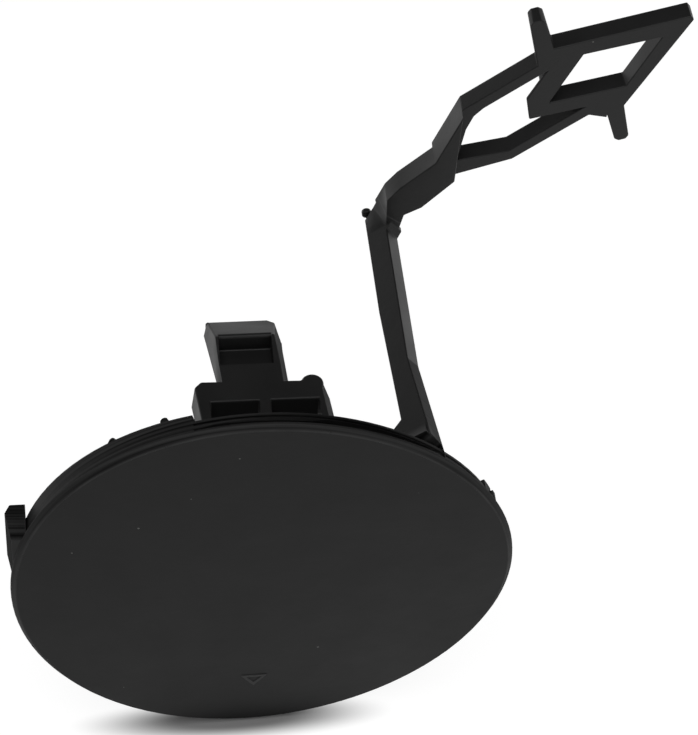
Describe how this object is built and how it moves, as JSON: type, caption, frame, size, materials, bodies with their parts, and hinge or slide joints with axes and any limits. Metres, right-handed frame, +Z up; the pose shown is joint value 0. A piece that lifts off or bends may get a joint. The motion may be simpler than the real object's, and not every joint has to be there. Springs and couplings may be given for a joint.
{
  "type": "bumper tow hook cover",
  "caption": "Round snap-in cap for a bumper's tow eye opening, with a hooked clip, a side tab and a moulded tether that ends in a forked, pronged ring.",
  "frame": {"origin": "middle of the face's front surface, on the axis of the bumper's opening", "axes": "+Y along the opening's axis, back into the bumper; +Z up, towards the clip; +X right, seen from the front"},
  "size_m": [0.1102, 0.056, 0.1141],
  "materials": {
    "black_plastic": "fine-grained moulded black plastic, satin on the clip and the tether"
  },
  "bodies": {
    "root": {"tow_hook_cover": "black_plastic"}
  },
  "joints": []
}
